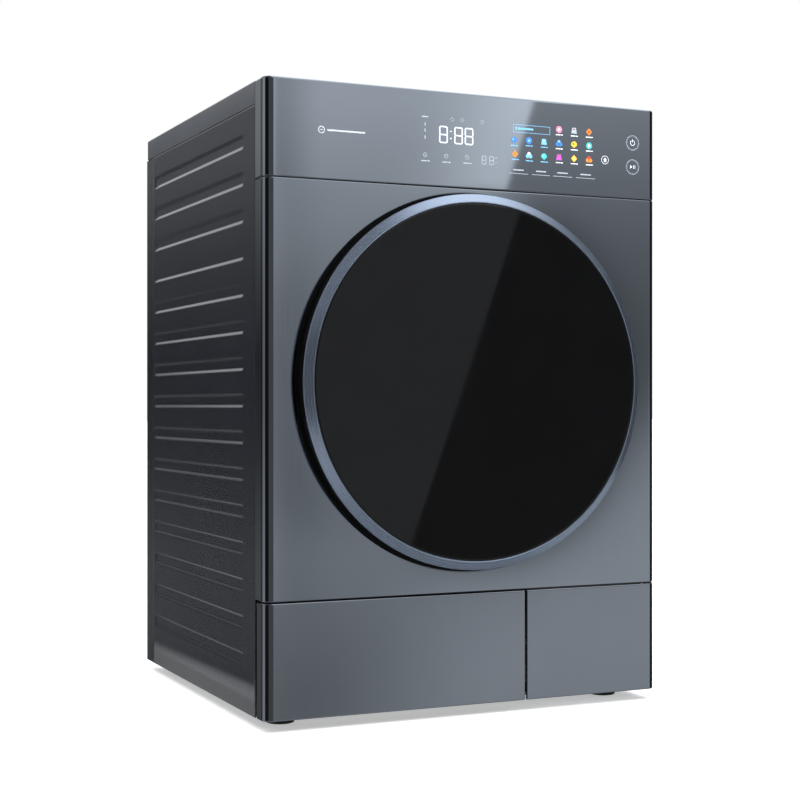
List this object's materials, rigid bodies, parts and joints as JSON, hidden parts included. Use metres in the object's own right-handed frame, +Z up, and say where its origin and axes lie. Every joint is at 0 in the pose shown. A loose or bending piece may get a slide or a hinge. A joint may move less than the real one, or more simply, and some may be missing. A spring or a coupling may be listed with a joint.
{
  "type": "clothes dryer",
  "caption": "Front-loading heat-pump clothes dryer with a round glass door, turning drum, belt drive, pull-out water tank, service flap and levelling feet.",
  "frame": {"origin": "on the floor under the centre of the outline, with the feet screwed in", "axes": "+Z up, the door faces -Y, +X to the right seen from the front"},
  "size_m": [0.596, 0.635, 0.848],
  "materials": {
    "side_steel": "satin painted steel sheet",
    "front_steel": "fine brushed, tinted steel sheet",
    "fascia_metal": "fine brushed, tinted panel",
    "worktop_finish": "dark laminated board with trim",
    "black_plastic": "fine moulded texture",
    "grey_plastic": "moulded plastic",
    "ring_metal": "brushed blue-grey ring",
    "black_glass": "black toughened glass",
    "clear_window": "tinted window",
    "rubber": "soft rubber",
    "felt": "wool felt",
    "galvanised": "zinc coated steel sheet",
    "stainless": "stainless steel",
    "machined_steel": "turned steel",
    "copper": "copper tube",
    "aluminium_fins": "thin fins",
    "board_green": "circuit board",
    "lock_plastic": "moulded plastic",
    "blue_plastic": "coloured touch point",
    "motor_steel": "painted motor housing",
    "compressor_black": "black enamel",
    "tank_plastic": "translucent plastic",
    "plinth_metal": "fine brushed, tinted panel",
    "filter_plastic": "plastic frame with fine mesh",
    "roller_plastic": "nylon"
  },
  "bodies": {
    "cabinet": {"base_tray": "grey_plastic", "left_side_panel": "side_steel", "right_side_panel": "side_steel", "back_panel": "galvanised", "rear_duct_cover": "galvanised", "worktop": "worktop_finish", "top_rails": "galvanised", "front_panel": "front_steel", "control_fascia": "fascia_metal", "control_board": "board_green", "door_surround": "black_plastic", "door_gasket": "rubber", "front_bulkhead": "grey_plastic", "drum_seals": "felt", "rear_bearing_support": "galvanised", "drum_bearing": "machined_steel", "hinge_bracket": "machined_steel", "door_lock": "lock_plastic", "heat_exchanger_housing": "grey_plastic", "evaporator": "aluminium_fins", "condenser": "aluminium_fins", "exchanger_cover": "grey_plastic", "compressor": "compressor_black", "compressor_mounts": "rubber", "refrigerant_pipes": "copper", "fan_housing": "grey_plastic", "fan_motor": "motor_steel", "drive_motor": "motor_steel", "drum_belt": "rubber", "drain_pump": "lock_plastic", "drain_outlet": "grey_plastic", "power_inlet": "black_plastic", "rear_screws": "machined_steel"},
    "door": {"door_ring": "ring_metal", "door_glass": "black_glass", "door_shell": "black_plastic", "door_inner_frame": "black_plastic", "door_window": "clear_window", "hinge_arm": "machined_steel", "latch_hook": "machined_steel"},
    "drum": {"drum_shell": "stainless", "drum_back_wall": "stainless", "drum_paddles": "grey_plastic", "drum_shaft": "machined_steel"},
    "motor_rotor": {"motor_pulley": "machined_steel"},
    "roller_left": {"left_roller": "roller_plastic"},
    "roller_right": {"right_roller": "roller_plastic"},
    "tensioner": {"tensioner_arm": "machined_steel"},
    "idler": {"idler_pulley": "roller_plastic"},
    "fan": {"fan_wheel": "roller_plastic"},
    "filter": {"lint_filter": "filter_plastic"},
    "tank": {"water_tank": "tank_plastic", "tank_front": "plinth_metal"},
    "flap": {"service_flap": "plinth_metal"},
    "lever_left": {"left_cover_lever": "blue_plastic"},
    "lever_right": {"right_cover_lever": "blue_plastic"},
    "foot_fl": {"foot_front_left": "rubber"},
    "foot_fr": {"foot_front_right": "rubber"},
    "foot_rl": {"foot_rear_left": "rubber"},
    "foot_rr": {"foot_rear_right": "rubber"}
  },
  "joints": [
    {"name": "door_hinge", "type": "hinge", "parent": "cabinet", "child": "door", "pos_m": [0.243, -0.2995, 0.4544], "axis": [0, 0, 1], "range_deg": [0, 104]},
    {"name": "drum_spin", "type": "hinge", "parent": "cabinet", "child": "drum", "pos_m": [0, 0.0135, 0.4544], "axis": [0, 1, 0], "continuous": true},
    {"name": "motor_spin", "type": "hinge", "parent": "cabinet", "child": "motor_rotor", "pos_m": [0.2373, -0.1595, 0.20535], "axis": [0, 1, 0], "continuous": true},
    {"name": "left_roller_spin", "type": "hinge", "parent": "cabinet", "child": "roller_left", "pos_m": [-0.18257, -0.1995, 0.19366], "axis": [0, 1, 0], "continuous": true},
    {"name": "right_roller_spin", "type": "hinge", "parent": "cabinet", "child": "roller_right", "pos_m": [0.18257, -0.1995, 0.19366], "axis": [0, 1, 0], "continuous": true},
    {"name": "tensioner_hinge", "type": "hinge", "parent": "cabinet", "child": "tensioner", "pos_m": [0.10131, -0.1645, 0.16665], "axis": [0, 1, 0], "range_deg": [0, 5], "stiffness_Nm_per_rad": 1.5, "springref_deg": -8.59},
    {"name": "idler_spin", "type": "hinge", "parent": "tensioner", "child": "idler", "pos_m": [0.14728, -0.1595, 0.16826], "axis": [0, 1, 0], "continuous": true},
    {"name": "fan_spin", "type": "hinge", "parent": "cabinet", "child": "fan", "pos_m": [-0.1508, 0.1935, 0.085], "axis": [0, 1, 0], "continuous": true},
    {"name": "lint_filter_slide", "type": "slide", "parent": "cabinet", "child": "filter", "axis": [0, 0, 1], "range_m": [0, 0.11]},
    {"name": "water_tank_slide", "type": "slide", "parent": "cabinet", "child": "tank", "axis": [0, -1, 0], "range_m": [0, 0.3]},
    {"name": "service_flap_hinge", "type": "hinge", "parent": "cabinet", "child": "flap", "pos_m": [-0.102, -0.2725, 0.025], "axis": [1, 0, 0], "range_deg": [0, 90]},
    {"name": "left_lever_turn", "type": "hinge", "parent": "cabinet", "child": "lever_left", "pos_m": [-0.2408, -0.2615, 0.091], "axis": [0, -1, 0], "range_deg": [0, 90]},
    {"name": "right_lever_turn", "type": "hinge", "parent": "cabinet", "child": "lever_right", "pos_m": [0.014, -0.2615, 0.091], "axis": [0, 1, 0], "range_deg": [0, 90]},
    {"name": "foot_front_left_adjust", "type": "slide", "parent": "cabinet", "child": "foot_fl", "axis": [0, 0, -1], "range_m": [0, 0.012]},
    {"name": "foot_front_right_adjust", "type": "slide", "parent": "cabinet", "child": "foot_fr", "axis": [0, 0, -1], "range_m": [0, 0.012]},
    {"name": "foot_rear_left_adjust", "type": "slide", "parent": "cabinet", "child": "foot_rl", "axis": [0, 0, -1], "range_m": [0, 0.012]},
    {"name": "foot_rear_right_adjust", "type": "slide", "parent": "cabinet", "child": "foot_rr", "axis": [0, 0, -1], "range_m": [0, 0.012]}
  ],
  "couplings": [
    {"joint": "motor_spin", "follows": "drum_spin", "ratio": 25.909},
    {"joint": "idler_spin", "follows": "drum_spin", "ratio": -20.357},
    {"joint": "left_roller_spin", "follows": "drum_spin", "ratio": -8.0857},
    {"joint": "right_roller_spin", "follows": "drum_spin", "ratio": -8.0857}
  ]
}
